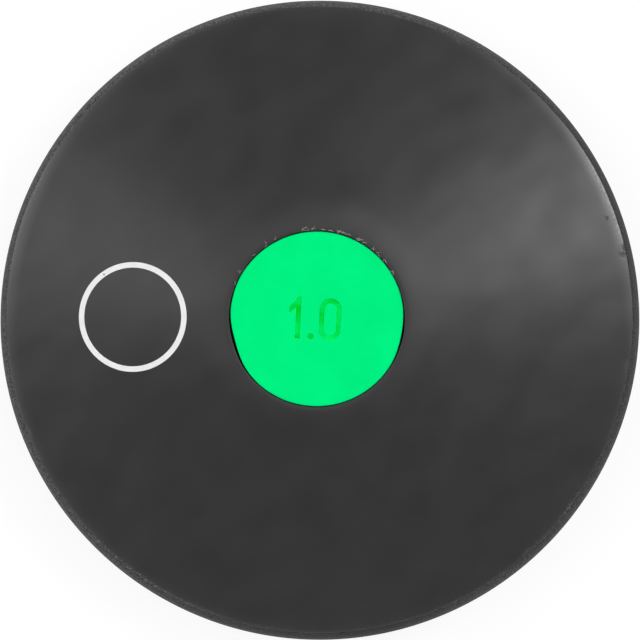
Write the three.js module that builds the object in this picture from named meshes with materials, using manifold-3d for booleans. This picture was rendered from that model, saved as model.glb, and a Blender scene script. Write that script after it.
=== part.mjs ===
// A one-kilogram practice discus. A rubber body is moulded round a steel weight, and a coloured plastic
// plate is set flush into the middle of each face. Lengths are in millimetres. The discus lies flat: +Z is
// its axis, towards the front face, and the origin is on the axis at the middle of its thickness.

import * as THREE from "three";
import { mergeVertices } from "three/addons/utils/BufferGeometryUtils.js";
import Module from "manifold-3d";

const wasm = await Module();
wasm.setup();

// Rubber body
const OUTER_DIAMETER = 181; // over the parting line
const CENTRE_THICKNESS = 38; // between the two flat centres
const EDGE_THICKNESS = 12.5; // of the tapered part, measured EDGE_INSET in from the rim
const EDGE_INSET = 6;
const FLAT_LAND = 3.25; // from the plate's seat out to the sharp corner where flat and taper would meet
const SHOULDER_RADIUS = 20; // blends the flat centre into the taper
const RIM_WIDTH = 2; // of the rounded rim as seen from above, out from the edge where it meets the taper
const PARTING_LINE_HEIGHT = 0.2; // the seam that the two mould halves leave round the rim
const PARTING_LINE_WIDTH = 0.8;

// Centre plates, two alike
const PLATE_DIAMETER = 48.8;
const PLATE_THICKNESS = 2.5;
const PLATE_EDGE_RADIUS = 0.5;
const PLATE_RECESS = 0.2; // how far the plate's face lies under the rubber's
const PEG_DIAMETER = 9.4; // plugs the hole that the mould's locating pin leaves
const PEG_CHAMFER = 0.8;

// Steel weight, sized so that the whole discus comes to one kilogram
const CORE_DIAMETER = 106;
const CORE_THICKNESS = 6;
const CORE_CHAMFER = 1;
const KEYING_HOLE_DIAMETER = 12; // the rubber flows through these and ties its two halves together
const KEYING_HOLE_COUNT = 8;

// Clearances, each on one side
const SEAT_CLEARANCE = 0.35; // round the plate, where a dark gap shows
const FLOOR_CLEARANCE = 0.3; // under the plate
const PEG_CLEARANCE = 0.3; // round the peg and past its end
const MOULDED_CLEARANCE = 0.3; // between the rubber and the weight that it is moulded round
const CUT_OVERRUN = 1; // how far a cutting tool runs past the face that it opens

// Facets
const TURNED_SEGMENTS = 72;
const HOLE_SEGMENTS = 24;
const ARC_DIVISIONS = 3; // a path gives each arc twice as many steps

// Levels and radii that follow from the sizes above
const outerRadius = OUTER_DIAMETER / 2;
const wallRadius = outerRadius - PARTING_LINE_HEIGHT;
const faceLevel = CENTRE_THICKNESS / 2;
const plateRadius = PLATE_DIAMETER / 2;
const plateLevel = faceLevel - PLATE_RECESS;
const seatRadius = plateRadius + SEAT_CLEARANCE;
const seatLevel = plateLevel - PLATE_THICKNESS - FLOOR_CLEARANCE;
const pegRadius = PEG_DIAMETER / 2;
const pinHoleRadius = pegRadius + PEG_CLEARANCE;
const coreRadius = CORE_DIAMETER / 2;
const coreLevel = CORE_THICKNESS / 2;
const coreBoreRadius = pinHoleRadius + MOULDED_CLEARANCE;
const keyingHoleRadius = KEYING_HOLE_DIAMETER / 2;
const keyingCircleRadius = (coreBoreRadius + coreRadius) / 2;
const pegLength = plateLevel - PLATE_THICKNESS - coreLevel - PEG_CLEARANCE;

// Turns a profile of radius and height round the Z axis.
function turned(profile) {
  return new THREE.LatheGeometry(profile.getPoints(ARC_DIVISIONS), TURNED_SEGMENTS).rotateX(Math.PI / 2);
}

// An upright cylinder between two levels, standing at x, y.
function post(radius, low, high, x = 0, y = 0) {
  return new THREE.CylinderGeometry(radius, radius, high - low, HOLE_SEGMENTS)
    .rotateX(Math.PI / 2)
    .translate(x, y, (low + high) / 2);
}

// A closed geometry as a solid that can be joined and cut.
function solid(geometry) {
  const bare = geometry.clone();
  bare.deleteAttribute("normal");
  bare.deleteAttribute("uv");
  const merged = mergeVertices(bare);
  return new wasm.Manifold(
    new wasm.Mesh({
      numProp: 3,
      vertProperties: merged.attributes.position.array,
      triVerts: new Uint32Array(merged.index.array),
    }),
  );
}

// A solid as a geometry that a mesh can carry.
function geometryOf(shape) {
  const { vertProperties, triVerts } = shape.getMesh();
  const geometry = new THREE.BufferGeometry();
  geometry.setAttribute("position", new THREE.BufferAttribute(vertProperties, 3));
  geometry.setIndex(new THREE.BufferAttribute(triVerts, 1));
  geometry.computeVertexNormals();
  return geometry;
}

// Posts at the keying holes' places, evenly spread round the keying circle.
function keyingPosts(radius, low, high) {
  return Array.from({ length: KEYING_HOLE_COUNT }, (_, i) => {
    const angle = (2 * Math.PI * i) / KEYING_HOLE_COUNT;
    const x = keyingCircleRadius * Math.cos(angle);
    const y = keyingCircleRadius * Math.sin(angle);
    return solid(post(radius, low, high, x, y));
  });
}

// The body's outline: flat centre, shoulder, straight taper, rim rounded in one true arc, and the parting
// line's ridge. The arc is centred on the mid-plane, and its ends are the edges where the tapers stop.
function bodyProfile() {
  const cornerRadius = seatRadius + FLAT_LAND;
  const slope = Math.atan2(faceLevel - EDGE_THICKNESS / 2, outerRadius - EDGE_INSET - cornerRadius);
  const shoulderStart = cornerRadius - SHOULDER_RADIUS * Math.tan(slope / 2);
  const shoulderLevel = faceLevel - SHOULDER_RADIUS;
  const edgeRadius = wallRadius - RIM_WIDTH;
  const edgeLevel = faceLevel - (edgeRadius - cornerRadius) * Math.tan(slope);
  const rimRadius = (edgeLevel ** 2 + RIM_WIDTH ** 2) / (2 * RIM_WIDTH);
  const rimCentre = wallRadius - rimRadius;
  const rimAngle = Math.asin(edgeLevel / rimRadius);
  const ridgeAngle = Math.asin(PARTING_LINE_WIDTH / 2 / rimRadius);
  const up = Math.PI / 2;

  const profile = new THREE.Path();
  profile.moveTo(0, -faceLevel);
  profile.lineTo(shoulderStart, -faceLevel);
  profile.absarc(shoulderStart, -shoulderLevel, SHOULDER_RADIUS, -up, slope - up, false);
  profile.absarc(rimCentre, 0, rimRadius, -rimAngle, -ridgeAngle, false);
  profile.lineTo(outerRadius, 0);
  profile.absarc(rimCentre, 0, rimRadius, ridgeAngle, rimAngle, false);
  profile.absarc(shoulderStart, shoulderLevel, SHOULDER_RADIUS, up - slope, up, false);
  profile.lineTo(0, faceLevel);
  return profile;
}

// The space that the weight takes up in the rubber, chamfered as the weight is.
function coreProfile(innerRadius, clearance) {
  const rim = coreRadius + clearance;
  const level = coreLevel + clearance;
  const profile = new THREE.Path();
  profile.moveTo(innerRadius, -level);
  profile.lineTo(rim - CORE_CHAMFER, -level);
  profile.lineTo(rim, CORE_CHAMFER - level);
  profile.lineTo(rim, level - CORE_CHAMFER);
  profile.lineTo(rim - CORE_CHAMFER, level);
  profile.lineTo(innerRadius, level);
  profile.lineTo(innerRadius, -level);
  return profile;
}

// A seat for a plate in the front face, and its copy in the rear face.
function seatCuts() {
  const front = new THREE.CylinderGeometry(
    seatRadius,
    seatRadius,
    faceLevel + CUT_OVERRUN - seatLevel,
    TURNED_SEGMENTS,
  )
    .rotateX(Math.PI / 2)
    .translate(0, 0, (seatLevel + faceLevel + CUT_OVERRUN) / 2);
  const rear = front.clone().rotateX(Math.PI);
  return [solid(front), solid(rear)];
}

// Rubber body: the turned outline, less the plates' seats, the locating pin's hole and the weight's cavity.
// The cavity is crossed by the rubber columns that fill the keying holes, and opens into the pin's hole.
function rubberBody() {
  const columns = keyingPosts(
    keyingHoleRadius - MOULDED_CLEARANCE,
    -coreLevel - CUT_OVERRUN,
    coreLevel + CUT_OVERRUN,
  );
  const cavity = columns.reduce(
    (space, column) => space.subtract(column),
    solid(turned(coreProfile(pinHoleRadius / 2, MOULDED_CLEARANCE))),
  );
  const pinHole = solid(post(pinHoleRadius, -seatLevel - CUT_OVERRUN, seatLevel + CUT_OVERRUN));
  const cuts = [...seatCuts(), pinHole, cavity];
  return geometryOf(cuts.reduce((body, cut) => body.subtract(cut), solid(turned(bodyProfile()))));
}

// Steel weight: a chamfered disc with a bore for the locating pin and a ring of keying holes.
function coreWeight() {
  const holes = keyingPosts(keyingHoleRadius, -coreLevel - CUT_OVERRUN, coreLevel + CUT_OVERRUN);
  const disc = solid(turned(coreProfile(coreBoreRadius, 0)));
  return geometryOf(holes.reduce((rest, hole) => rest.subtract(hole), disc));
}

// Centre plate: a disc with a softened edge and a peg on its back. Its face is at height zero.
function centrePlate() {
  const back = -PLATE_THICKNESS;
  const pegEnd = back - pegLength;
  const profile = new THREE.Path();
  profile.moveTo(0, pegEnd);
  profile.lineTo(pegRadius - PEG_CHAMFER, pegEnd);
  profile.lineTo(pegRadius, pegEnd + PEG_CHAMFER);
  profile.lineTo(pegRadius, back);
  profile.lineTo(plateRadius, back);
  profile.absarc(
    plateRadius - PLATE_EDGE_RADIUS,
    -PLATE_EDGE_RADIUS,
    PLATE_EDGE_RADIUS,
    0,
    Math.PI / 2,
    false,
  );
  profile.lineTo(0, 0);
  return turned(profile);
}

const rubber = new THREE.MeshStandardMaterial({ color: 0x303030, roughness: 0.5, metalness: 0 });
const greenPlastic = new THREE.MeshStandardMaterial({ color: 0x00f083, roughness: 0.45, metalness: 0 });
const steel = new THREE.MeshStandardMaterial({ color: 0x8c8f92, roughness: 0.4, metalness: 1 });

// A named mesh at a height on the axis, turned over for the rear face.
function piece(name, geometry, material, level = 0, turnedOver = false) {
  const mesh = new THREE.Mesh(geometry, material);
  mesh.name = name;
  mesh.position.z = level;
  mesh.rotation.x = turnedOver ? Math.PI : 0;
  return mesh;
}

const discus = new THREE.Group();
discus.name = "discus";
discus.add(piece("rubber_body", rubberBody(), rubber));
discus.add(piece("core_weight", coreWeight(), steel));
discus.add(piece("front_centre_plate", centrePlate(), greenPlastic, plateLevel));
discus.add(piece("rear_centre_plate", centrePlate(), greenPlastic, -plateLevel, true));

export default discus;
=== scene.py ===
import math
import random
from collections import namedtuple

import bmesh
import bpy
from mathutils import Matrix, Vector, noise


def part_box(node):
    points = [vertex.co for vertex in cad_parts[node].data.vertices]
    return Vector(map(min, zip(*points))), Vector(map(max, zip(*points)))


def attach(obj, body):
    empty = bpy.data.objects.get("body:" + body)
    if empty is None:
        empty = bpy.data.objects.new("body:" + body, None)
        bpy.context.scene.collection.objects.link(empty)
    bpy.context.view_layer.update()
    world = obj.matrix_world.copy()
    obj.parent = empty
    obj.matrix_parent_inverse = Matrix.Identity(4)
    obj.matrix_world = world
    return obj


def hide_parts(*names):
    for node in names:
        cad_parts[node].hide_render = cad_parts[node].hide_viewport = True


# A one-kilogram practice discus: black rubber moulded round a steel weight, a green plate set flush into
# the middle of each face, and a white ring printed on the front taper. Lengths are in metres, and +Z runs
# along the axis, out of the front face.
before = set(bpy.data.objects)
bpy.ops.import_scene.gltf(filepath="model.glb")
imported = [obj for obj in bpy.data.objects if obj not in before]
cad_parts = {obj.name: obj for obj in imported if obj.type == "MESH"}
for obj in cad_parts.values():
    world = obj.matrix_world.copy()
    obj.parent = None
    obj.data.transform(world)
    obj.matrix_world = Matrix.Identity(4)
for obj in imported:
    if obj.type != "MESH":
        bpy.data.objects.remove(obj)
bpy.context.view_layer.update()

MM = 0.001

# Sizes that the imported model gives
body_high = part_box("rubber_body")[1]
plate_low, plate_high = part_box("front_centre_plate")
core_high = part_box("core_weight")[1]
OUTER_RADIUS = body_high.x
FACE_LEVEL = body_high.z
PLATE_RADIUS = plate_high.x
PLATE_LEVEL = plate_high.z
PEG_END_LEVEL = plate_low.z
CORE_RADIUS = core_high.x
CORE_LEVEL = core_high.z

# Rubber body
EDGE_THICKNESS = 12.5 * MM
EDGE_INSET = 6 * MM
FLAT_LAND = 3.25 * MM  # from the seat out to the corner where flat and taper would meet
SHOULDER_LEAN = math.radians(2.5)  # of the face just outside the seat
SHOULDER_REACH = 35 * MM  # the radius where the shoulder has become the taper
TAPER_FULLNESS = math.radians(1.2)  # how far the taper's slope swings on either side of its mean
RIM_WIDTH = 2 * MM
RIM_EDGE_ROUNDING = 0.25 * MM
WORN_EDGE_WIDTH = 4 * MM  # of the strip that rolls off towards the rim's edge
PARTING_LINE_HEIGHT = 0.2 * MM
PARTING_LINE_WIDTH = 0.8 * MM
PARTING_LINE_MARGIN = 2 * MM  # on either side of the mid-plane, where the rim stays true
SEAT_CLEARANCE = 0.35 * MM
SEAT_LIP_ROUNDING = 0.13 * MM
FLOOR_CLEARANCE = 0.3 * MM
MOULDED_CLEARANCE = 0.3 * MM
CAVITY_MARGIN = 0.1 * MM  # round the cavity and the seats, whose walls stay true
CORE_CHAMFER = 1 * MM
PEG_RADIUS = 4.7 * MM
PEG_CLEARANCE = 0.3 * MM
PEG_CHAMFER = 0.8 * MM
KEYING_HOLE_RADIUS = 6 * MM
KEYING_HOLE_COUNT = 8

# Dents in and near the rim's edge: azimuth in degrees, the rest in millimetres. In the deep ones the
# moulded surface has come off, with a ragged border. The two reaches are squared, and in half widths.
Dent = namedtuple("Dent", "azimuth radius half_width half_length depth")
EDGE_DENTS = (
    (13.2, 88.4, 0.8, 1.2, 0.35),
    (12.1, 87.7, 0.6, 0.6, 0.3),
    (-7.7, 87.5, 0.8, 1.8, 0.08),
    (19.3, 86.2, 0.3, 0.32, 0.28),
    (63, 87.9, 0.4, 0.8, 0.15),
    (-48, 88.1, 0.6, 1.5, 0.15),
    (201, 88.0, 0.6, 1.4, 0.14),
)
REAR_EDGE_DENTS = (
    (74, 88.0, 0.7, 1.3, 0.3),
    (-121, 87.6, 0.6, 1.4, 0.15),
    (163, 88.1, 0.5, 1.1, 0.12),
)
DENT_REACH = 4
TORN_DEPTH = 0.25
TORN_REACH = 0.9
TORN_BORDER = ((0.45 * MM, 0.5),)

# Wear and painted highlight inside the rim's edge, from 0 to 1: azimuth in degrees, then flecks knocked
# out, grey rubbing, and how far the grinder overran the edge. The grey rubbing is partly a painted
# highlight, strongest where the key and left lamps reflect, near 25 and 160 degrees. The powers say how
# fast the grey and the flecks fade inwards.
EDGE_WEAR_AND_HIGHLIGHT = (
    (-180, 0.1, 0.15, 0.3),
    (-150, 0.1, 0.1, 0.5),
    (-130, 0.4, 0.05, 1.0),
    (-113, 0.4, 0.05, 0.9),
    (-105, 0.1, 0.05, 0.4),
    (-70, 0.15, 0, 0.4),
    (-42, 0.2, 0, 0.3),
    (-36, 0.45, 0, 0.8),
    (-31, 0.15, 0, 0.2),
    (-5, 0.1, 0.05, 0.1),
    (6, 0.1, 0.2, 0),
    (11.5, 0.2, 0.35, 0),
    (13.5, 0.6, 0.85, 0),
    (17, 0.9, 0.95, 0),
    (28, 0.8, 1.0, 0),
    (35, 0.2, 0.6, 0),
    (42, 0.1, 0.25, 0),
    (70, 0.1, 0, 0.1),
    (100, 0.1, 0.05, 0.1),
    (125, 0.1, 0.1, 0.3),
    (142, 0.1, 0.15, 0.6),
    (153, 0.4, 0.4, 0),
    (168, 0.1, 0.4, 0),
    (180, 0.1, 0.15, 0.2),
)
WORN_STRIP_WIDTH = 3.6 * MM
RUBBING_AND_HIGHLIGHT_POWER = 2
FLECK_POWER = 3
FLECK_PUSH = 0.3  # how much hard wear adds to the flecks' noise
FLECK_CONTRAST = (0.62, 0.82)
OVERRUN = 1 * MM  # of the grinder, inwards past the rim's edge

# Grey in the ground rim, from 0 to 1, at azimuths in degrees: dust ground in, and painted light that makes
# the rim lighter towards the top and left and darkest at the bottom
RIM_DUST_AND_LIGHT = (
    (-180, 0.38),
    (-140, 0.4),
    (-115, 0.2),
    (-80, 0),
    (-55, 0.22),
    (0, 0.12),
    (30, 0.1),
    (60, 0.35),
    (85, 0.45),
    (135, 0.5),
    (160, 0.42),
    (180, 0.38),
)

# Unevenness. A wave has a length and a height. A swell has an azimuth and a half width in degrees, and a
# height. The waves of the other face are taken from a slice of noise OTHER_FACE away.
FACE_WAVES = ((34 * MM, 0.03 * MM), (15 * MM, 0.009 * MM))
FACE_WAVES_RISE = (2 * MM, 12 * MM)  # out from the seat
FACE_WAVES_FADE = 6 * MM  # in from the rim's edge
LIP_LEAN = 0.15 * MM
LIP_SWELLS = ((195, 18, 0.23 * MM),)
LIP_WAVES = ((2.2 * MM, 0.05 * MM),)
LIP_WIDTH = 1.2 * MM
EDGE_ROLL = 0.05 * MM
EDGE_ROLL_SWELLS = ((28, 22, 0.22 * MM), (166, 24, 0.19 * MM))
EDGE_SWELLS = ((22, 22, 0.32 * MM), (160, 12, 0.2 * MM), (105, 26, 0.3 * MM))
EDGE_WAVES = ((12 * MM, 0.07 * MM), (5 * MM, 0.06 * MM), (2.1 * MM, 0.06 * MM))
EDGE_WANDER_REACH = (0.2 * MM, 1.3 * MM)  # from the rim's edge
OTHER_FACE = 100 * MM

# Centre plates
PLATE_THICKNESS = 2.5 * MM
PLATE_EDGE_RADIUS = 0.3 * MM

# Where the gates were cut off the plate's edge a little too deep, as swells
GATE_CUTS = ((195, 17.5, 0.77 * MM), (350, 17, 0.38 * MM), (165, 8, 0.1 * MM))

# Weight mark, a plain number moulded into each plate
MARK_HEIGHT = 11.7 * MM
MARK_DEPTH = 0.55 * MM
MARK_STROKE = 1.35 * MM
MARK_TURN = math.radians(-3.3)
MARK_MIDDLE = (-0.75 * MM, 0.1 * MM)
MARK_ROUNDING = 0.12 * MM
MARK_DRAFT = 0.05 * MM
MARK_REACH = 10.5 * MM  # from the axis, round all the figures
# Depth down to which the figures' walls are painted with the floor's deeper green, as painted shade
MARK_SHADE_DEPTH = 0.7 * MARK_DEPTH  # where the walls have taken on the floor's colour
ONE_RIGHT = -3.75 * MM
ONE_TOP_WIDTH = 0.9 * MM
ONE_FLAG_REACH = 1.9 * MM
ONE_FLAG_TIP = 3.0 * MM
ONE_FLAG_FOOT = 4.5 * MM
ONE_FLAG_ROOT = 2.9 * MM
POINT_MIDDLE = -0.7 * MM
POINT_RADIUS = 0.84 * MM
ZERO_MIDDLE = 4.5 * MM
ZERO_HALF_WIDTH = 3.05 * MM

# Printed ring, a true circle as seen from straight above
RING_DIAMETER = 30.8 * MM
RING_STROKE = 1.54 * MM
RING_CENTRE = (-51.86 * MM, 0.65 * MM)
INK_THICKNESS = 0.03 * MM

# Grain of the finishes. A contrast is the stretch of a pattern's values, 0 to 1, that it is drawn between.
BLOOM_SIZE = 38 * MM
SMEAR_LENGTH = 12 * MM
SMEAR_WIDTH = 8.5 * MM
SMEAR_TURN = math.radians(40)
SMEAR_CONTRAST = (0.2, 0.8)
SMEAR_HEIGHT = 0.2 * MM
MOTTLE_SIZE = 4 * MM
FLECK_SIZE = 0.55 * MM
GRAIN_SIZE = 0.35 * MM
GRAIN_HEIGHT = 0.01 * MM
GRIT_SIZE = 0.5 * MM
GRIT_CONTRAST = (0.38, 0.62)
GRIT_HEIGHT = 0.03 * MM
FLOW_SIZE = 11 * MM
SHADE_SIZE = 3.5 * MM
SHADE_CONTRAST = (0.3, 0.7)
PORE_SPACING = 2.6 * MM
PORE_BORDER = (0.13, 0.07)  # outside and inside, in spacings
PORE_SHARE = 0.12  # of the pores that are open
FILM_SIZE = 2.2 * MM
FIBRE_SIZE = 0.4 * MM
FEED_MARK = 1 * MM
WAVE_PERIOD = math.pi / 10  # of a wave texture at scale 1
RUBBER_IOR = 1.5

# Shreds of flash round the front seat, each a whisker with its own root, length and turn, and with a bent
# tip. A cluster has an azimuth in degrees, a number, a spread in degrees and a reach in millimetres.
SHRED_SEED = 5
SHRED_ROOT = (0.045 * MM, 0.065 * MM)
SHRED_TIP = 0.03 * MM
SHRED_LENGTH = (0.7 * MM, 1.5 * MM)
SHRED_BEND = 0.3 * MM
SHRED_LIFT = 0.1 * MM
SHRED_TURN = 30
FLASH_CLUSTERS = (
    (97.6, 2, 0.5, 1.5),
    (95.5, 2, 0.8, 1.0),
    (92.5, 2, 1.0, 0.9),
    (86, 2, 1.2, 0.6),
    (80.5, 2, 1.0, 0.4),
    (76.5, 3, 1.5, 0.5),
    (73, 3, 1.0, 0.6),
    (69.3, 2, 1.0, 0.6),
    (61.5, 5, 1.2, 0.8),
    (58, 2, 1.0, 0.5),
    (50, 2, 1.0, 0.5),
    (46.5, 2, 1.0, 0.7),
    (41, 3, 1.5, 0.4),
    (31, 3, 1.5, 0.3),
    (118, 1, 1, 0.8),
    (124, 2, 1.2, 1.2),
    (133.8, 1, 0.6, 0.9),
    (147.6, 2, 1.2, 0.9),
    (156, 1, 1, 0.9),
)

# Welding and facets
WELD = 1e-3 * MM
WEDGES = 24
SPIN_STEPS = 600
LIP_STEPS = 4
SHOULDER_STEPS = 8
TAPER_STEPS = 20
EDGE_STEPS = 8
CORNER_STEPS = 4
RIM_STEPS = 12
LEVEL_STEPS = 400
COLUMN_STEPS = 48
PLATE_STEPS = 240
PLATE_EDGE_STEPS = 6
FIGURE_STEPS = 24
RING_STEPS = 240
RING_BANDS = 4
DENT_CUTS = 3
SHRED_SIDES = 5
FLOOR_STEPS = 96
SHARP_ANGLE = math.radians(32)

# Levels and radii that follow
SEAT_RADIUS = PLATE_RADIUS + SEAT_CLEARANCE
SEAT_LEVEL = PLATE_LEVEL - PLATE_THICKNESS - FLOOR_CLEARANCE
CORNER_RADIUS = SEAT_RADIUS + FLAT_LAND
WALL_RADIUS = OUTER_RADIUS - PARTING_LINE_HEIGHT
EDGE_RADIUS = WALL_RADIUS - RIM_WIDTH
SLOPE = math.atan2(FACE_LEVEL - EDGE_THICKNESS / 2, OUTER_RADIUS - EDGE_INSET - CORNER_RADIUS)
EDGE_LEVEL = FACE_LEVEL - (EDGE_RADIUS - CORNER_RADIUS) * math.tan(SLOPE)
WORN_EDGE_START = EDGE_RADIUS - WORN_EDGE_WIDTH
RIM_ARC_RADIUS = (EDGE_LEVEL ** 2 + RIM_WIDTH ** 2) / (2 * RIM_WIDTH)
PIN_HOLE_RADIUS = PEG_RADIUS + PEG_CLEARANCE
CAVITY_RADIUS = CORE_RADIUS + MOULDED_CLEARANCE
CAVITY_LEVEL = CORE_LEVEL + MOULDED_CLEARANCE
KEYING_CIRCLE_RADIUS = (PIN_HOLE_RADIUS + MOULDED_CLEARANCE + CORE_RADIUS) / 2

# Where the rubber's finishes meet, a little way round the small roundings
GROUND_START = EDGE_RADIUS - 0.1 * RIM_EDGE_ROUNDING
POLISH_END_RADIUS = SEAT_RADIUS + SEAT_LIP_ROUNDING
POLISH_END_LEVEL = FACE_LEVEL - 0.2 * SEAT_LIP_ROUNDING
MOULDED, GROUND, UNPOLISHED_SHADED, TORN = range(4)


def smooth_step(value, low, high):
    """0 below low, 1 above high, and a soft rise between."""
    t = min(max((value - low) / (high - low), 0), 1)
    return t * t * (3 - 2 * t)


def degrees_between(angle, azimuth):
    """How far an angle in radians lies past an azimuth in degrees, from -180 to 180."""
    return (math.degrees(angle) - azimuth + 180) % 360 - 180


def swell(angle, centre, width):
    """A soft bump of height 1 round an azimuth in degrees."""
    return math.exp(-((degrees_between(angle, centre) / width) ** 2))


def swelled(angle, swells):
    """The height that swells add up to at an azimuth."""
    return sum(height * swell(angle, azimuth, width) for azimuth, width, height in swells)


def waved(place, waves):
    """The height that waves add up to at a place."""
    return sum(height * noise.noise(place / length) for length, height in waves)


# Shapes

def arc(centre_radius, centre_level, radius, start, end, steps):
    """Points of a profile along a circular arc, in radius and level; angles in degrees."""
    points = []
    for i in range(steps + 1):
        a = math.radians(start + (end - start) * i / steps)
        points.append((centre_radius + radius * math.cos(a), centre_level + radius * math.sin(a)))
    return points


def face_lean(radius):
    """How steeply the moulded face falls: the shoulder leans in softly, and the taper is a little full."""
    if radius < SEAT_RADIUS:
        return 0
    fullness = 2 * (radius - SHOULDER_REACH) / (EDGE_RADIUS - SHOULDER_REACH) - 1
    taper = SLOPE + TAPER_FULLNESS * fullness
    blend = min((radius - SEAT_RADIUS) / (SHOULDER_REACH - SEAT_RADIUS), 1)
    return math.tan(SHOULDER_LEAN + (taper - SHOULDER_LEAN) * blend)


def face_falls():
    """How far the face falls, at even steps from the seat to the rim's edge, where it meets the rim."""
    step = (EDGE_RADIUS - SEAT_RADIUS) / LEVEL_STEPS
    falls = [0]
    for i in range(LEVEL_STEPS):
        falls.append(falls[-1] + face_lean(SEAT_RADIUS + (i + 0.5) * step) * step)
    return [fall * (FACE_LEVEL - EDGE_LEVEL) / falls[-1] for fall in falls]


FACE_FALLS = face_falls()


def face_level(radius):
    """Height of the moulded face at a distance from the axis, before any unevenness."""
    place = (radius - SEAT_RADIUS) / (EDGE_RADIUS - SEAT_RADIUS) * LEVEL_STEPS
    i = min(max(int(place), 0), LEVEL_STEPS - 1)
    return FACE_LEVEL - FACE_FALLS[i] - (FACE_FALLS[i + 1] - FACE_FALLS[i]) * max(place - i, 0)


def unevenness(x, y, side):
    """How far the moulded taper lies under or over its true cone: long soft waves of a few hundredths."""
    radius = math.hypot(x, y)
    reach = smooth_step(radius - SEAT_RADIUS, *FACE_WAVES_RISE)
    reach *= 1 - smooth_step(radius, EDGE_RADIUS - FACE_WAVES_FADE, EDGE_RADIUS)
    return waved(Vector((x, y, side * OTHER_FACE)), FACE_WAVES) * reach


def spun(bm, profile, steps):
    """Adds an open profile of radius and level, turned round the Z axis one wedge after another."""
    turned = bmesh.new()
    verts = [turned.verts.new((radius, 0, level)) for radius, level in profile]
    edges = [turned.edges.new(pair) for pair in zip(verts, verts[1:])]
    wedge_angle = 2 * math.pi / WEDGES
    bmesh.ops.spin(
        turned,
        geom=verts + edges,
        cent=(0, 0, 0),
        axis=(0, 0, 1),
        angle=wedge_angle,
        steps=steps // WEDGES,
    )
    wedge = turned.verts[:] + turned.edges[:] + turned.faces[:]
    for i in range(1, WEDGES):
        copied = bmesh.ops.duplicate(turned, geom=wedge)["geom"]
        copied_verts = [item for item in copied if isinstance(item, bmesh.types.BMVert)]
        turn = Matrix.Rotation(i * wedge_angle, 3, "Z")
        bmesh.ops.rotate(turned, verts=copied_verts, cent=(0, 0, 0), matrix=turn)
    bmesh.ops.remove_doubles(turned, verts=turned.verts, dist=WELD)
    join(bm, turned)


def join(bm, other):
    """Moves the shapes of one mesh into another."""
    mesh = bpy.data.meshes.new("joined")
    other.to_mesh(mesh)
    other.free()
    bm.from_mesh(mesh)
    bpy.data.meshes.remove(mesh)


def wire_loop(bm, points, level):
    """A closed loop of bare edges at one level."""
    verts = [bm.verts.new((x, y, level)) for x, y in points]
    return [bm.edges.new((a, b)) for a, b in zip(verts, verts[1:] + verts[:1])]


def circle_points(radius, steps, x=0, y=0):
    """Even points round a circle."""
    return [
        (x + radius * math.cos(2 * math.pi * i / steps), y + radius * math.sin(2 * math.pi * i / steps))
        for i in range(steps)
    ]


def open_edges(bm, level):
    """The edges at one level that still want a face."""
    bm.verts.ensure_lookup_table()
    return [
        e
        for e in bm.edges
        if len(e.link_faces) < 2 and all(abs(v.co.z - level) < WELD for v in e.verts)
    ]


def finish_mesh(bm, name, *materials):
    """Welds the seams, turns the faces outwards and makes the object."""
    bmesh.ops.remove_doubles(bm, verts=bm.verts, dist=WELD)
    bmesh.ops.recalc_face_normals(bm, faces=bm.faces)
    for face in bm.faces:
        face.smooth = True
    mesh = bpy.data.meshes.new(name)
    bm.to_mesh(mesh)
    bm.free()
    mesh.set_sharp_from_angle(angle=SHARP_ANGLE)
    for material in materials:
        mesh.materials.append(material)
    made = bpy.data.objects.new(name, mesh)
    bpy.context.collection.objects.link(made)
    return made


def half_profile():
    """The skin's upper half, from the locating pin's hole out to the parting line's foot."""
    lip = SEAT_LIP_ROUNDING
    rim_angle = math.degrees(math.asin(EDGE_LEVEL / RIM_ARC_RADIUS))
    ridge_angle = math.degrees(math.asin(PARTING_LINE_WIDTH / 2 / RIM_ARC_RADIUS))
    points = [(PIN_HOLE_RADIUS, CAVITY_LEVEL), (PIN_HOLE_RADIUS, SEAT_LEVEL), (SEAT_RADIUS, SEAT_LEVEL)]
    points += arc(SEAT_RADIUS + lip, FACE_LEVEL - lip, lip, 180, 90, LIP_STEPS)
    stretches = (
        (SEAT_RADIUS + lip, SHOULDER_REACH, SHOULDER_STEPS),
        (SHOULDER_REACH, WORN_EDGE_START, TAPER_STEPS),
        (WORN_EDGE_START, EDGE_RADIUS - RIM_EDGE_ROUNDING, EDGE_STEPS),
    )
    for start, end, steps in stretches:
        for i in range(1, steps + 1):
            radius = start + (end - start) * i / steps
            points.append((radius, face_level(radius)))
    centre = WALL_RADIUS - RIM_ARC_RADIUS
    turn = math.degrees(RIM_EDGE_ROUNDING / RIM_ARC_RADIUS)
    rim = arc(centre, 0, RIM_ARC_RADIUS, rim_angle - turn, ridge_angle, RIM_STEPS)
    points += rounded_corner(points[-1], (EDGE_RADIUS, EDGE_LEVEL), rim[0], CORNER_STEPS)
    return points + rim


def rounded_corner(start, corner, end, steps):
    """Points between two tangent points, on the curve that their corner pulls round."""
    points = []
    for i in range(1, steps):
        t = i / steps
        weights = ((1 - t) ** 2, 2 * t * (1 - t), t ** 2)
        points.append(tuple(sum(w * p[k] for w, p in zip(weights, (start, corner, end))) for k in (0, 1)))
    return points


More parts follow.
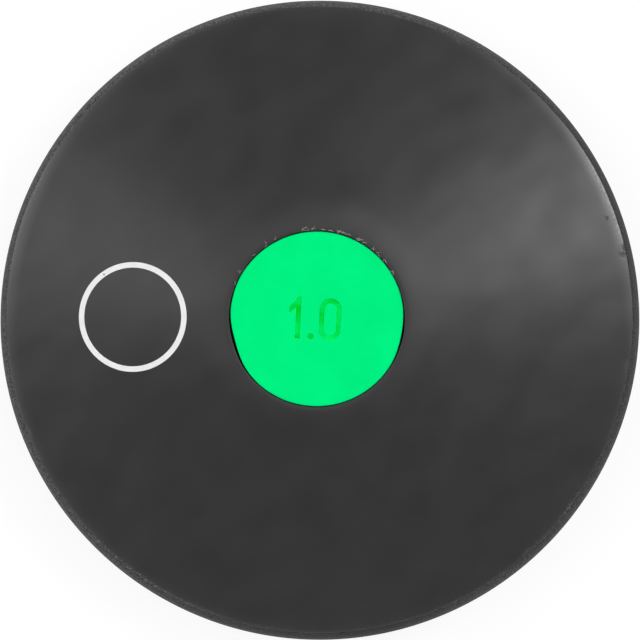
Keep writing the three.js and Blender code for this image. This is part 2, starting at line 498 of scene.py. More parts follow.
def rubber_skin(moulded, ground, unpolished_shaded, torn):
    """The moulded body: skin, plate seats, and the weight's cavity with its keying columns."""
    bm = bmesh.new()
    upper = half_profile()
    lower = [(radius, -level) for radius, level in reversed(upper)]
    spun(bm, upper + [(OUTER_RADIUS, 0)] + lower, SPIN_STEPS)
    chamfer = CORE_CHAMFER
    cavity = [
        (CAVITY_RADIUS - chamfer, CAVITY_LEVEL),
        (CAVITY_RADIUS, CAVITY_LEVEL - chamfer),
        (CAVITY_RADIUS, chamfer - CAVITY_LEVEL),
        (CAVITY_RADIUS - chamfer, -CAVITY_LEVEL),
    ]
    spun(bm, cavity, SPIN_STEPS)
    columns = []
    for i in range(KEYING_HOLE_COUNT):
        a = 2 * math.pi * i / KEYING_HOLE_COUNT
        points = circle_points(
            KEYING_HOLE_RADIUS - MOULDED_CLEARANCE,
            COLUMN_STEPS,
            KEYING_CIRCLE_RADIUS * math.cos(a),
            KEYING_CIRCLE_RADIUS * math.sin(a),
        )
        columns.append(wire_loop(bm, points, CAVITY_LEVEL) + wire_loop(bm, points, -CAVITY_LEVEL))
    for level in (CAVITY_LEVEL, -CAVITY_LEVEL):
        bmesh.ops.triangle_fill(bm, use_beauty=True, use_dissolve=False, edges=open_edges(bm, level))
    for pair in columns:
        bmesh.ops.bridge_loops(bm, edges=pair)
    refine_at_dents(bm)
    for face in bm.faces:
        face.material_index = finish_at(face.calc_center_median())
    for vert in bm.verts:
        work_surface(vert)
    return finish_mesh(bm, "moulded_rubber_body", moulded, ground, unpolished_shaded, torn)


def finish_at(place):
    """Which of the rubber's finishes the skin has at a place."""
    radius = math.hypot(place.x, place.y)
    if radius > GROUND_START:
        return GROUND
    if is_torn(place.x, place.y, side_of(place.z)):
        return TORN
    if radius < POLISH_END_RADIUS and abs(place.z) < POLISH_END_LEVEL:
        return UNPOLISHED_SHADED
    return MOULDED


def side_of(level):
    """1 on the front half, -1 on the rear half."""
    return 1 if level > 0 else -1


def dents_on(side):
    """The dents in one half of the skin."""
    return [Dent(*row) for row in (EDGE_DENTS if side > 0 else REAR_EDGE_DENTS)]


def off_dent(dent, x, y):
    """How far a place lies from a dent's middle, squared, in the dent's own half widths."""
    away = degrees_between(math.atan2(y, x), dent.azimuth)
    radius = math.hypot(x, y)
    along = math.radians(away) * radius
    return ((radius / MM - dent.radius) / dent.half_width) ** 2 + (along / MM / dent.half_length) ** 2


def refine_at_dents(bm):
    """Divides the faces where dents will be pressed in, so that small ones keep their shape."""
    for side in (1, -1):
        for dent in dents_on(side):
            near = []
            for edge in bm.edges:
                middle = (edge.verts[0].co + edge.verts[1].co) / 2
                if middle.z * side > EDGE_LEVEL / 2 and off_dent(dent, middle.x, middle.y) < DENT_REACH:
                    near.append(edge)
            bmesh.ops.subdivide_edges(bm, edges=near, cuts=DENT_CUTS, use_grid_fill=True)


def is_torn(x, y, side):
    """Whether a place lies in a dent so deep that the moulded surface has come off."""
    border = TORN_REACH + waved(Vector((x, y, side * OTHER_FACE)), TORN_BORDER)
    return any(dent.depth > TORN_DEPTH and off_dent(dent, x, y) < border for dent in dents_on(side))


def work_surface(vert):
    """Moves one vertex of the skin off its true place, as moulding, trimming and use have done."""
    x, y, z = vert.co
    radius = math.hypot(x, y)
    side = side_of(z)
    in_cavity = radius < CAVITY_RADIUS + CAVITY_MARGIN and abs(z) < CAVITY_LEVEL + CAVITY_MARGIN
    if in_cavity or radius < SEAT_RADIUS - CAVITY_MARGIN:
        return
    angle = math.atan2(y, x)
    out = Vector((math.cos(angle), math.sin(angle), 0))
    if radius < SEAT_RADIUS + LIP_WIDTH:
        # The seat's lip leans in a little, most in one place, and its edge wanders.
        lean = LIP_LEAN + swelled(side * angle, LIP_SWELLS) - waved(Vector((x, y, z)), LIP_WAVES)
        hold = 1 - smooth_step(radius, SEAT_RADIUS + SEAT_LIP_ROUNDING, SEAT_RADIUS + LIP_WIDTH)
        vert.co -= out * lean * hold
        return
    vert.co.z += side * unevenness(x, y, side)
    if radius > WORN_EDGE_START and abs(z) > PARTING_LINE_MARGIN:
        wear_edge(vert, radius, angle, side, out)


def wear_edge(vert, radius, angle, side, out):
    """The taper rolls off towards the rim's edge, which is trimmed by hand and nicked."""
    rolled = smooth_step(radius, WORN_EDGE_START, EDGE_RADIUS)
    rolled *= 1 - smooth_step(radius, EDGE_RADIUS, WALL_RADIUS)
    vert.co.z -= side * (EDGE_ROLL + swelled(angle, EDGE_ROLL_SWELLS)) * rolled
    near = 1 - smooth_step(abs(radius - EDGE_RADIUS), *EDGE_WANDER_REACH)
    place = Vector((vert.co.x, vert.co.y, side * OTHER_FACE))
    vert.co += out * (swelled(angle, EDGE_SWELLS) + waved(place, EDGE_WAVES)) * near
    for dent in dents_on(side):
        pressed = dent.depth * MM * math.exp(-off_dent(dent, radius * out.x, radius * out.y))
        vert.co.z -= side * pressed


def numeral_loops(grow):
    """Outlines of the weight mark's figures round the mark's own middle, grown outwards by a little."""
    stroke = MARK_STROKE
    half = MARK_HEIGHT / 2
    stem = ONE_RIGHT - stroke
    flag = stem - ONE_FLAG_REACH
    one = [
        (stem, -half),
        (ONE_RIGHT, -half),
        (ONE_RIGHT, half),
        (ONE_RIGHT - ONE_TOP_WIDTH, half),
        (flag, half - ONE_FLAG_TIP),
        (flag, half - ONE_FLAG_FOOT),
        (stem, half - ONE_FLAG_ROOT),
    ]
    point = circle_points(POINT_RADIUS, FIGURE_STEPS, POINT_MIDDLE, POINT_RADIUS - half)
    outer = oval(ZERO_MIDDLE, ZERO_HALF_WIDTH, half)
    inner = oval(ZERO_MIDDLE, ZERO_HALF_WIDTH - stroke, half - stroke)
    return [offset_loop(loop, grow) for loop in (one, point, outer)] + [offset_loop(inner, -grow)]


def oval(x, half_width, half_height):
    """A tall loop: two half circles joined by straight sides."""
    straight = half_height - half_width
    points = []
    for i in range(FIGURE_STEPS + 1):
        a = math.pi * i / FIGURE_STEPS
        points.append((half_width * math.cos(a), straight + half_width * math.sin(a)))
    return [(x + px, py) for px, py in points + [(-px, -py) for px, py in points]]


def offset_loop(points, distance):
    """A loop drawn anticlockwise, moved outwards by one distance along all its sides."""
    moved = []
    for before, here, after in zip(points[-1:] + points[:-1], points, points[1:] + points[:1]):
        first = (Vector(here) - Vector(before)).normalized()
        second = (Vector(after) - Vector(here)).normalized()
        outward = Vector((first.y + second.y, -first.x - second.x))
        mitre = 1 + first.dot(second)
        moved.append(Vector(here) + outward * distance / mitre)
    return moved


def marked_plate(name, material, turned_over):
    """A centre plate with its peg, and the weight mark moulded into its face."""
    bm = bmesh.new()
    back = PLATE_LEVEL - PLATE_THICKNESS
    edge = PLATE_EDGE_RADIUS
    profile = [(0, PEG_END_LEVEL), (PEG_RADIUS - PEG_CHAMFER, PEG_END_LEVEL)]
    profile += [(PEG_RADIUS, PEG_END_LEVEL + PEG_CHAMFER), (PEG_RADIUS, back), (PLATE_RADIUS, back)]
    profile += arc(PLATE_RADIUS - edge, PLATE_LEVEL - edge, edge, 0, 90, PLATE_EDGE_STEPS)
    spun(bm, profile, PLATE_STEPS)
    turn = Matrix.Rotation(MARK_TURN, 2)
    levels = (PLATE_LEVEL, PLATE_LEVEL - MARK_ROUNDING, PLATE_LEVEL - MARK_DEPTH)
    grown = (MARK_ROUNDING, 0, -MARK_DRAFT)
    rings = []
    for level, grow in zip(levels, grown):
        loops = [[turn @ point + Vector(MARK_MIDDLE) for point in loop] for loop in numeral_loops(grow)]
        rings.append([wire_loop(bm, loop, level) for loop in loops])
    for level in (levels[0], levels[-1]):
        bmesh.ops.triangle_fill(bm, use_beauty=True, use_dissolve=False, edges=open_edges(bm, level))
    for upper, lower in zip(rings, rings[1:]):
        for pair in zip(upper, lower):
            bmesh.ops.bridge_loops(bm, edges=pair[0] + pair[1])
    for vert in bm.verts:
        x, y, _ = vert.co
        if math.hypot(x, y) > PLATE_RADIUS - PLATE_EDGE_RADIUS - WELD:
            angle = math.atan2(y, x)
            vert.co -= Vector((math.cos(angle), math.sin(angle), 0)) * swelled(angle, GATE_CUTS)
    if turned_over:
        bmesh.ops.rotate(bm, verts=bm.verts, cent=(0, 0, 0), matrix=Matrix.Rotation(math.pi, 3, "X"))
    return finish_mesh(bm, name, material)


def ring_film(material):
    """The printed ring: a thin film that follows the front taper, with its underside just in the rubber."""
    bm = bmesh.new()
    outer = RING_DIAMETER / 2
    across = [outer - RING_STROKE * i / RING_BANDS for i in range(RING_BANDS + 1)]
    section = [(radius, INK_THICKNESS) for radius in across] + [(radius, 0) for radius in reversed(across)]
    spun(bm, section + section[:1], RING_STEPS)
    cx, cy = RING_CENTRE
    for vert in bm.verts:
        local = vert.co.copy()
        place = Vector((cx + local.x, cy + local.y))
        lift = -INK_THICKNESS if local.z < INK_THICKNESS / 2 else INK_THICKNESS
        level = face_level(place.length) + unevenness(place.x, place.y, 1)
        vert.co = (place.x, place.y, level + lift)
    return finish_mesh(bm, "printed_ring", material)


def seat_flash(material):
    """Torn shreds of mould flash that still cling round the front seat's lip."""
    bm = bmesh.new()
    draw = random.Random(SHRED_SEED)
    for azimuth, shreds, spread, reach in FLASH_CLUSTERS:
        for _ in range(shreds):
            add_shred(bm, draw, azimuth + draw.uniform(-spread, spread), reach)
    for vert in bm.verts:
        vert.co.z = min(vert.co.z, FACE_LEVEL)
    return finish_mesh(bm, "seat_flash", material)


def add_shred(bm, draw, azimuth, reach):
    """One shred: a thin whisker with a bent tip, lying on the lip, mostly along it."""
    shred = bmesh.ops.create_cone(
        bm,
        cap_ends=True,
        segments=SHRED_SIDES,
        radius1=draw.uniform(*SHRED_ROOT),
        radius2=SHRED_TIP,
        depth=draw.uniform(*SHRED_LENGTH),
    )["verts"]
    tip = [v for v in shred if v.co.z > 0]
    bend = Vector((draw.uniform(-SHRED_BEND, SHRED_BEND), draw.uniform(0, SHRED_LIFT), 0))
    bmesh.ops.translate(bm, verts=tip, vec=bend)
    bmesh.ops.rotate(bm, verts=shred, cent=(0, 0, 0), matrix=Matrix.Rotation(math.pi / 2, 3, "X"))
    turn = Matrix.Rotation(math.radians(azimuth + draw.gauss(0, SHRED_TURN)), 3, "Z")
    bmesh.ops.rotate(bm, verts=shred, cent=(0, 0, 0), matrix=turn)
    radius = SEAT_RADIUS + draw.uniform(0, reach) * MM
    a = math.radians(azimuth)
    root = (radius * math.cos(a), radius * math.sin(a), face_level(radius))
    bmesh.ops.translate(bm, verts=shred, vec=root)


# Materials

# Sockets of a mix node's colours, which share their names with its others
COLOUR_A = 6
COLOUR_B = 7
MIXED_COLOUR = 2

# Rubber whose moulded skin is gone, ground or torn off
BARE_RUBBER = {"Roughness": 0.75, "IOR": RUBBER_IOR, "Specular IOR Level": 0.3}


def linear(hex_colour):
    """An sRGB hex colour as the linear values that Blender's sockets take."""
    channels = [int(hex_colour[i:i + 2], 16) / 255 for i in (1, 3, 5)]
    return tuple(c / 12.92 if c <= 0.04045 else ((c + 0.055) / 1.055) ** 2.4 for c in channels) + (1,)


def add_node(tree, kind, inputs=None, **settings):
    """Adds a node, sets its properties, and sets or links its inputs."""
    made = tree.nodes.new(kind)
    for name, value in settings.items():
        setattr(made, name, value)
    for key, value in (inputs or {}).items():
        if isinstance(value, bpy.types.NodeSocket):
            tree.links.new(value, made.inputs[key])
        else:
            made.inputs[key].default_value = value
    return made


def new_material(name, settings):
    """A material with its node tree and its shader, whose settings are the same all over the surface."""
    material = bpy.data.materials.new(name)
    material.use_nodes = True
    shader = material.node_tree.nodes["Principled BSDF"]
    for socket, value in settings.items():
        shader.inputs[socket].default_value = value
    return material, material.node_tree, shader


def place_on_piece(tree):
    """The place in the piece, and its distance from the discus's axis."""
    place = add_node(tree, "ShaderNodeTexCoord").outputs["Object"]
    flat = add_node(
        tree,
        "ShaderNodeVectorMath",
        {0: place, 1: (1, 1, 0)},
        operation="MULTIPLY",
    ).outputs[0]
    radius = add_node(tree, "ShaderNodeVectorMath", {0: flat}, operation="LENGTH").outputs["Value"]
    return place, radius


def amounts_round_rim(tree, place, rows):
    """A colour that changes with azimuth. A row holds an azimuth in degrees, and up to three channels."""
    turn = add_node(tree, "ShaderNodeTexGradient", {"Vector": place}, gradient_type="RADIAL")
    amounts = add_node(tree, "ShaderNodeValToRGB", {"Fac": turn.outputs["Fac"]})
    stops = amounts.color_ramp.elements
    stops.remove(stops[1])
    for degrees, *channels in rows:
        position = degrees / 360 + 0.5
        stop = stops.new(position) if position > 0 else stops[0]
        stop.position = position
        stop.color = (*channels, *[0] * (3 - len(channels)), 1)
    return add_node(tree, "ShaderNodeSeparateColor", {"Color": amounts.outputs["Color"]}).outputs


def edge_wear_and_highlight(tree, place, radius):
    """Wear and painted highlight on the taper's outer strip: rubbed grey with a painted highlight near the
    lamps, overrun by the grinder, and knocked into flecks.
    """
    wear_and_highlight = amounts_round_rim(tree, place, EDGE_WEAR_AND_HIGHLIGHT)
    strip = add_node(
        tree,
        "ShaderNodeMapRange",
        {"Value": radius, "From Min": EDGE_RADIUS - WORN_STRIP_WIDTH, "From Max": EDGE_RADIUS},
    ).outputs[0]
    # Painted highlight: the grey rubbing of the strip is partly light painted into the colour, strongest
    # where the lamps reflect.
    near = add_node(tree, "ShaderNodeMath", {0: strip, 1: RUBBING_AND_HIGHLIGHT_POWER}, operation="POWER").outputs[0]
    grey_and_highlight = add_node(tree, "ShaderNodeMath", {0: near, 1: wear_and_highlight["Green"]}, operation="MULTIPLY").outputs[0]
    fleck = add_node(tree, "ShaderNodeTexNoise", {"Vector": place, "Scale": 1 / FLECK_SIZE, "Detail": 2.0})

    # The grinder's border dissolves in specks over the last millimetre or so.
    specks = add_node(
        tree,
        "ShaderNodeMath",
        {0: fleck.outputs["Fac"], 1: 2 * OVERRUN, 2: radius},
        operation="MULTIPLY_ADD",
    ).outputs[0]
    overrun = add_node(
        tree,
        "ShaderNodeMapRange",
        {"Value": specks, "From Min": EDGE_RADIUS, "From Max": EDGE_RADIUS + OVERRUN},
    ).outputs[0]
    ground = add_node(
        tree,
        "ShaderNodeMath",
        {0: overrun, 1: wear_and_highlight["Blue"]},
        operation="MULTIPLY",
    ).outputs[0]

    # Flecks are knocked out where the noise is high, and more of them towards the brink.
    brink = add_node(tree, "ShaderNodeMath", {0: strip, 1: FLECK_POWER}, operation="POWER").outputs[0]
    hard = add_node(tree, "ShaderNodeMath", {0: brink, 1: wear_and_highlight["Red"]}, operation="MULTIPLY").outputs[0]
    struck = add_node(
        tree,
        "ShaderNodeMath",
        {0: hard, 1: FLECK_PUSH, 2: fleck.outputs["Fac"]},
        operation="MULTIPLY_ADD",
    ).outputs[0]
    start, full = FLECK_CONTRAST
    flecks = add_node(
        tree,
        "ShaderNodeMapRange",
        {"Value": struck, "From Min": start, "From Max": full},
    ).outputs[0]
    flecks = add_node(tree, "ShaderNodeMath", {0: flecks, 1: hard}, operation="MULTIPLY").outputs[0]
    return grey_and_highlight, ground, flecks


def grit(tree, place):
    """The marks of a grinding wheel's grit, and the colour of rubber with dust rubbed into them, lightened
    towards the top and left as painted light.
    """
    grains = add_node(tree, "ShaderNodeTexNoise", {"Vector": place, "Scale": 1 / GRIT_SIZE, "Detail": 2.0})
    low, high = GRIT_CONTRAST
    marks = add_node(
        tree,
        "ShaderNodeMapRange",
        {"Value": grains.outputs["Fac"], "From Min": low, "From Max": high},
    ).outputs[0]
    # Painted light: the grey laid into the ground rim is partly dust and partly light, most towards the top
    # and left, none at the bottom.
    dust_and_light = amounts_round_rim(tree, place, RIM_DUST_AND_LIGHT)["Red"]
    dusty_and_lit = add_node(
        tree,
        "ShaderNodeMix",
        {0: dust_and_light, COLOUR_A: linear("#2c2c2c"), COLOUR_B: linear("#777777")},
        data_type="RGBA",
    )
    colour = add_node(
        tree,
        "ShaderNodeMix",
        {0: marks, COLOUR_A: linear("#181818"), COLOUR_B: dusty_and_lit.outputs[MIXED_COLOUR]},
        data_type="RGBA",
    )
    return marks, colour.outputs[MIXED_COLOUR]


def moulded_rubber():
    """Vulcanised rubber, pressed in a polished steel mould: nearly black, with an even satin sheen. It is
    faintly cloudy where wax has bloomed and been wiped, and pale just inside the rim's edge, partly from
    wear and partly as a painted highlight where the lamps reflect."""
    material, tree, shader = new_material("moulded_black_rubber", {"IOR": RUBBER_IOR})
    place, radius = place_on_piece(tree)
    bloom = add_node(tree, "ShaderNodeTexNoise", {"Vector": place, "Scale": 1 / BLOOM_SIZE, "Detail": 3.0})
    wiped = add_node(
        tree,
        "ShaderNodeMapping",
        {
            "Vector": place,
            "Rotation": (0, 0, SMEAR_TURN),
            "Scale": (SMEAR_LENGTH, SMEAR_WIDTH, SMEAR_WIDTH),
        },
        vector_type="TEXTURE",
    ).outputs[0]
    smears = add_node(tree, "ShaderNodeTexNoise", {"Vector": wiped, "Scale": 1.0, "Detail": 0.0})
    mottle = add_node(tree, "ShaderNodeTexNoise", {"Vector": place, "Scale": 1 / MOTTLE_SIZE})
    cloudy = add_node(
        tree,
        "ShaderNodeMix",
        {0: bloom.outputs["Fac"], COLOUR_A: linear("#282828"), COLOUR_B: linear("#343434")},
        data_type="RGBA",
    )
    mottled = add_node(
        tree,
        "ShaderNodeMix",
        {0: mottle.outputs["Fac"], COLOUR_A: linear("#2a2a2a"), COLOUR_B: cloudy.outputs[MIXED_COLOUR]},
        data_type="RGBA",
    )
    grey_and_highlight, ground, flecks = edge_wear_and_highlight(tree, place, radius)
    _, ground_colour = grit(tree, place)
    # The pale grey is partly rubbing and partly a painted highlight near the rim's edge.
    rubbed_and_highlit = add_node(
        tree,
        "ShaderNodeMix",
        {0: grey_and_highlight, COLOUR_A: mottled.outputs[MIXED_COLOUR], COLOUR_B: linear("#7c7c7c")},
        data_type="RGBA",
    )
    overrun = add_node(
        tree,
        "ShaderNodeMix",
        {0: ground, COLOUR_A: rubbed_and_highlit.outputs[MIXED_COLOUR], COLOUR_B: ground_colour},
        data_type="RGBA",
    )
    colour = add_node(
        tree,
        "ShaderNodeMix",
        {0: flecks, COLOUR_A: overrun.outputs[MIXED_COLOUR], COLOUR_B: linear("#a0a0a0")},
        data_type="RGBA",
    )
    tree.links.new(colour.outputs[MIXED_COLOUR], shader.inputs["Base Color"])
    low, high = SMEAR_CONTRAST
    sheen = add_node(
        tree,
        "ShaderNodeMapRange",
        {
            "Value": smears.outputs["Fac"],
            "From Min": low,
            "From Max": high,
            "To Min": 0.276,
            "To Max": 0.346,
        },
    ).outputs[0]
    worn = add_node(tree, "ShaderNodeMath", {0: flecks, 1: ground}, operation="MAXIMUM").outputs[0]
    rough = add_node(
        tree,
        "ShaderNodeMapRange",
        {"Value": worn, "To Min": sheen, "To Max": 0.7},
    ).outputs[0]
    tree.links.new(rough, shader.inputs["Roughness"])

    # The face is faintly wavy. The mould's own grain is finer than a third of a millimetre, and is drawn
    # at that so that it shows at all.
    waves = add_node(
        tree,
        "ShaderNodeBump",
        {"Height": smears.outputs["Fac"], "Distance": SMEAR_HEIGHT, "Strength": 0.8},
    ).outputs[0]
    grain = add_node(tree, "ShaderNodeTexNoise", {"Vector": place, "Scale": 1 / GRAIN_SIZE})
    bump = add_node(
        tree,
        "ShaderNodeBump",
        {"Height": grain.outputs["Fac"], "Distance": GRAIN_HEIGHT, "Strength": 0.25, "Normal": waves},
    )
    tree.links.new(bump.outputs[0], shader.inputs["Normal"])
    return material


def ground_rubber():
    """The same rubber where the mould's flash was ground off the rim: dull grey, with fine grit marks, and
    dust ground in that is partly painted light, lighter towards the top and left.
    """
    material, tree, shader = new_material("ground_black_rubber", BARE_RUBBER)
    place, _ = place_on_piece(tree)
    marks, colour = grit(tree, place)
    tree.links.new(colour, shader.inputs["Base Color"])
    bump = add_node(tree, "ShaderNodeBump", {"Height": marks, "Distance": GRIT_HEIGHT, "Strength": 0.5})
    tree.links.new(bump.outputs[0], shader.inputs["Normal"])
    return material


def torn_rubber():
    """The same rubber where a knock has torn the moulded skin off: dull, crumbly and a lighter grey."""
    material, tree, shader = new_material("torn_black_rubber", BARE_RUBBER)
    place, _ = place_on_piece(tree)
    crumbs = add_node(tree, "ShaderNodeTexNoise", {"Vector": place, "Scale": 1 / GRIT_SIZE, "Detail": 2.0})
    colour = add_node(
        tree,
        "ShaderNodeMix",
        {0: crumbs.outputs["Fac"], COLOUR_A: linear("#2c2c2c"), COLOUR_B: linear("#666666")},
        data_type="RGBA",
    )
    tree.links.new(colour.outputs[MIXED_COLOUR], shader.inputs["Base Color"])
    return material


def unpolished_shaded_rubber():
    """The same rubber in the seats and inside, where the mould wasn't polished: no sheen, and coloured near
    black as painted shade in the gap round the plate.
    """
    settings = {"Roughness": 0.85, "IOR": RUBBER_IOR, "Specular IOR Level": 0.2}
    material, tree, shader = new_material("unpolished_rubber_painted_shade", settings)
    place, _ = place_on_piece(tree)
    grains = add_node(tree, "ShaderNodeTexNoise", {"Vector": place, "Scale": 1 / GRIT_SIZE})
    # Painted shade: near black, darker than the same rubber outside, for the gap round the plate.
    colour = add_node(
        tree,
        "ShaderNodeMix",
        {0: grains.outputs["Fac"], COLOUR_A: linear("#0c0c0c"), COLOUR_B: linear("#181818")},
        data_type="RGBA",
    )
    tree.links.new(colour.outputs[MIXED_COLOUR], shader.inputs["Base Color"])
    return material


def green_plastic():
    """Polypropylene, injection moulded in a strong opaque green. Hardly any sheen shows on it from above.
    The floors and lower walls of the figures sunk in it are painted a deeper, patchy green: painted shade
    for the dimmer, greener light that reaches their floor through green walls."""
    settings = {"Roughness": 0.45, "IOR": 1.49, "Specular IOR Level": 0.01}
    material, tree, shader = new_material("moulded_green_polypropylene", settings)
    place, radius = place_on_piece(tree)
    level = add_node(tree, "ShaderNodeSeparateXYZ", {"Vector": place}).outputs["Z"]
    height = add_node(tree, "ShaderNodeMath", {0: level}, operation="ABSOLUTE").outputs[0]
    # Painted shade: the sunk figures' floors and lower walls are coloured a deeper green for the dimmer
    # light in the recesses.
    recess_shade_depth = add_node(
        tree,
        "ShaderNodeMapRange",
        {
            "Value": height,
            "From Min": PLATE_LEVEL - MARK_ROUNDING,
            "From Max": PLATE_LEVEL - MARK_SHADE_DEPTH,
        },
    ).outputs[0]
    within = add_node(tree, "ShaderNodeMath", {0: radius, 1: MARK_REACH}, operation="LESS_THAN").outputs[0]
    painted_recess_shade = add_node(tree, "ShaderNodeMath", {0: recess_shade_depth, 1: within}, operation="MULTIPLY").outputs[0]
    flow = add_node(tree, "ShaderNodeTexNoise", {"Vector": place, "Scale": 1 / FLOW_SIZE})
    uneven = add_node(tree, "ShaderNodeTexNoise", {"Vector": place, "Scale": 1 / SHADE_SIZE})
    low, high = SHADE_CONTRAST
    shade = add_node(
        tree,
        "ShaderNodeMapRange",
        {"Value": uneven.outputs["Fac"], "From Min": low, "From Max": high},
    ).outputs[0]
    face = add_node(
        tree,
        "ShaderNodeMix",
        {0: flow.outputs["Fac"], COLOUR_A: linear("#00e97b"), COLOUR_B: linear("#00fb8b")},
        data_type="RGBA",
    )
    # The floor's green varies in patches of painted shade.
    floor = add_node(
        tree,
        "ShaderNodeMix",
        {0: shade, COLOUR_A: linear("#00d71e"), COLOUR_B: linear("#00fd7e")},
        data_type="RGBA",
    )
    colour = add_node(
        tree,
        "ShaderNodeMix",
        {0: painted_recess_shade, COLOUR_A: face.outputs[MIXED_COLOUR], COLOUR_B: floor.outputs[MIXED_COLOUR]},
        data_type="RGBA",
    )
    tree.links.new(colour.outputs[MIXED_COLOUR], shader.inputs["Base Color"])
    return material


def white_ink():
    """Two-part pad-printing ink: flat white over the black rubber, with a pinhole here and there."""
    settings = {"Roughness": 0.55, "IOR": 1.5, "Specular IOR Level": 0.2}
    material, tree, shader = new_material("printed_white_ink", settings)
    place, _ = place_on_piece(tree)
    pores = add_node(tree, "ShaderNodeTexVoronoi", {"Vector": place, "Scale": 1 / PORE_SPACING})
    outside, inside = PORE_BORDER
    near = add_node(
        tree,
        "ShaderNodeMapRange",
        {"Value": pores.outputs["Distance"], "From Min": outside, "From Max": inside},
    ).outputs[0]
    draw = add_node(tree, "ShaderNodeSeparateColor", {"Color": pores.outputs["Color"]}).outputs["Red"]
    opened = add_node(
        tree,
        "ShaderNodeMath",
        {0: draw, 1: 1 - PORE_SHARE},
        operation="GREATER_THAN",
    ).outputs[0]
    pinhole = add_node(tree, "ShaderNodeMath", {0: near, 1: opened}, operation="MULTIPLY").outputs[0]
    film = add_node(tree, "ShaderNodeTexNoise", {"Vector": place, "Scale": 1 / FILM_SIZE})
    ink = add_node(
        tree,
        "ShaderNodeMix",
        {0: film.outputs["Fac"], COLOUR_A: linear("#e4e4e4"), COLOUR_B: linear("#f6f6f6")},
        data_type="RGBA",
    )
    colour = add_node(
        tree,
        "ShaderNodeMix",
        {0: pinhole, COLOUR_A: ink.outputs[MIXED_COLOUR], COLOUR_B: linear("#6a6a6a")},
        data_type="RGBA",
    )
    tree.links.new(colour.outputs[MIXED_COLOUR], shader.inputs["Base Color"])
    return material


def torn_flash():
    """Mould flash torn off at the seat's edge: thin, pale brown, and white where it was stretched."""
    settings = {"Roughness": 0.8, "IOR": RUBBER_IOR}
    material, tree, shader = new_material("torn_mould_flash", settings)
    place, _ = place_on_piece(tree)
    fibre = add_node(tree, "ShaderNodeTexNoise", {"Vector": place, "Scale": 1 / FIBRE_SIZE})
    colour = add_node(
        tree,
        "ShaderNodeMix",
        {0: fibre.outputs["Fac"], COLOUR_A: linear("#6c4f44"), COLOUR_B: linear("#e4dacf")},
        data_type="RGBA",
    )
    tree.links.new(colour.outputs[MIXED_COLOUR], shader.inputs["Base Color"])
    return material


def turned_steel():
    """Mild steel, turned on a lathe and left bare: fairly bright grey, with fine rings round the axis."""
    material, tree, shader = new_material("turned_mild_steel", {"Metallic": 1})
    place, _ = place_on_piece(tree)

    # Feed marks of a third of a millimetre are drawn at one millimetre so that they show.
    marks = add_node(
        tree,
        "ShaderNodeTexWave",
        {"Vector": place, "Scale": WAVE_PERIOD / FEED_MARK, "Distortion": 0.4, "Detail": 1.0},
        wave_type="RINGS",
        rings_direction="Z",
    ).outputs["Fac"]
    colour = add_node(
        tree,
        "ShaderNodeMix",
        {0: marks, COLOUR_A: linear("#85888b"), COLOUR_B: linear("#96999c")},
        data_type="RGBA",
    )
    tree.links.new(colour.outputs[MIXED_COLOUR], shader.inputs["Base Color"])
    rough = add_node(
        tree,
        "ShaderNodeMapRange",
        {"Value": marks, "To Min": 0.32, "To Max": 0.45},
    ).outputs[0]
    tree.links.new(rough, shader.inputs["Roughness"])
    return material


# Studio

FLOOR_RADIUS = 3.0
CAMERA_DISTANCE = 1.327
CAMERA_LEAN = (math.radians(2.07), math.radians(-0.845))
CAMERA_REACH = 20.0  # the furthest that it sees
AIM = (0.25 * MM, -0.034 * MM)
FRAME_HALF_WIDTH = 90.6 * MM
SENSOR = 36.0
LAMP_DISTANCE = 2.2
BACKDROP_SHARE = 0.8  # of plain white in what the camera sees of the floor; the rest is lit paper
BACKDROP_STRENGTH = 1.05  # so that the two together come out white
CEILING_LIGHT = 0.15
WALL_LIGHT = 1.2
CEILING_EDGE = math.radians(37)
WALL_TOP = math.radians(51)


def backdrop_rays(tree):
    """1 for rays that should find the plain white background: from the camera, reflected or refracted."""
    path = add_node(tree, "ShaderNodeLightPath").outputs
    seen = add_node(
        tree,
        "ShaderNodeMath",
        {0: path["Is Camera Ray"], 1: path["Is Glossy Ray"]},
        operation="ADD",
    ).outputs[0]
    return add_node(
        tree,
        "ShaderNodeMath",
        {0: seen, 1: path["Is Transmission Ray"]},
        operation="ADD",
        use_clamp=True,
    ).outputs[0]


def studio_floor():
    """White paper on the floor. It looks white to the camera, and still keeps a share of the shadow."""
    bm = bmesh.new()
    bmesh.ops.create_circle(bm, cap_ends=True, segments=FLOOR_STEPS, radius=FLOOR_RADIUS)
    bmesh.ops.translate(bm, verts=bm.verts, vec=(0, 0, -FACE_LEVEL))
    settings = {"Base Color": linear("#ffffff"), "Roughness": 0.9, "Specular IOR Level": 0.1}
    material, tree, shader = new_material("white_paper", settings)
    white = add_node(tree, "ShaderNodeEmission", {"Color": (1, 1, 1, 1), "Strength": BACKDROP_STRENGTH})
    share = add_node(
        tree,
        "ShaderNodeMath",
        {0: backdrop_rays(tree), 1: BACKDROP_SHARE},
        operation="MULTIPLY",
    ).outputs[0]
    lit = add_node(tree, "ShaderNodeMixShader", {0: share, 1: shader.outputs[0], 2: white.outputs[0]})
    tree.links.new(lit.outputs[0], tree.nodes["Material Output"].inputs["Surface"])
    floor = finish_mesh(bm, "studio_floor", material)


def softbox(name, azimuth, polar, across, along, radiance):
    """A rectangular lamp that faces the discus from an azimuth and an angle off its axis, in degrees."""
    a = math.radians(azimuth)
    p = math.radians(polar)
    place = Vector((math.sin(p) * math.cos(a), math.sin(p) * math.sin(a), math.cos(p))) * LAMP_DISTANCE
    back = place.normalized()
    side = Vector((-math.sin(a), math.cos(a), 0))
    data = bpy.data.lights.new(name, "AREA")
    data.shape = "RECTANGLE"
    data.size = across
    data.size_y = along
    data.energy = radiance * math.pi * across * along
    lamp = bpy.data.objects.new(name, data)
    lamp.location = place
    lamp.rotation_euler = Matrix((side, back.cross(side), back)).transposed().to_euler()
    bpy.context.collection.objects.link(lamp)


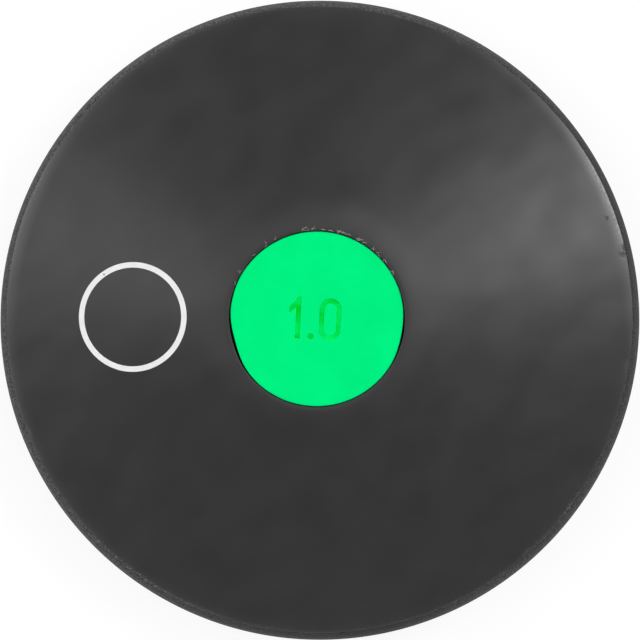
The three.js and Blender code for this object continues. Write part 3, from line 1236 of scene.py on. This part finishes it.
def set_camera():
    """The camera at the photograph's distance and lean, with the discus filling its frame."""
    data = bpy.data.cameras.new("camera")
    data.sensor_width = SENSOR
    data.lens = SENSOR / 2 * CAMERA_DISTANCE / FRAME_HALF_WIDTH
    data.clip_end = CAMERA_REACH
    made = bpy.data.objects.new("camera", data)
    lean_x, lean_y = CAMERA_LEAN
    back = Vector((math.tan(lean_x), math.tan(lean_y), 1)).normalized()
    made.location = Vector((AIM[0], AIM[1], 0)) + back * CAMERA_DISTANCE
    right = Vector((0, 1, 0)).cross(back).normalized()
    made.rotation_euler = Matrix((right, back.cross(right), back)).transposed().to_euler()
    bpy.context.collection.objects.link(made)
    bpy.context.scene.camera = made


def set_world():
    """The studio's own light: dim straight above, and brighter towards the white walls all round."""
    made = bpy.data.worlds.new("studio")
    made.use_nodes = True
    tree = made.node_tree
    direction = add_node(tree, "ShaderNodeTexCoord").outputs["Generated"]
    upward = add_node(tree, "ShaderNodeSeparateXYZ", {"Vector": direction}).outputs["Z"]
    strength = add_node(
        tree,
        "ShaderNodeMapRange",
        {
            "Value": upward,
            "From Min": math.cos(WALL_TOP),
            "From Max": math.cos(CEILING_EDGE),
            "To Min": WALL_LIGHT,
            "To Max": CEILING_LIGHT,
        },
        interpolation_type="SMOOTHSTEP",
    ).outputs[0]
    background = tree.nodes["Background"]
    background.inputs["Color"].default_value = (1, 1, 1, 1)
    tree.links.new(strength, background.inputs["Strength"])
    bpy.context.scene.world = made


# The discus in its studio

green = green_plastic()
rubber = rubber_skin(moulded_rubber(), ground_rubber(), unpolished_shaded_rubber(), torn_rubber())
pieces = {
    rubber: ("rubber_body", "black_rubber"),
    marked_plate("front_marked_plate", green, False): ("front_centre_plate", "green_plastic"),
    marked_plate("rear_marked_plate", green, True): ("rear_centre_plate", "green_plastic"),
}
for piece, (cad_node, slot) in pieces.items():
    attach(piece, "root")
    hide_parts(cad_node)
for piece in (ring_film(white_ink()), seat_flash(torn_flash())):
    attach(piece, "root")

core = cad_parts["core_weight"]
steel = turned_steel()
for material_slot in core.material_slots:
    material_slot.material = steel

studio_floor()
softbox("key_softbox", azimuth=25.0, polar=36.4, across=0.55, along=0.65, radiance=6.4)
softbox("left_softbox", azimuth=162.0, polar=34.3, across=0.58, along=2.2, radiance=1.75)
softbox("top_softbox", azimuth=37.4, polar=15.1, across=0.82, along=0.56, radiance=2.8)
set_world()
set_camera()
bpy.context.scene.view_settings.view_transform = "Standard"
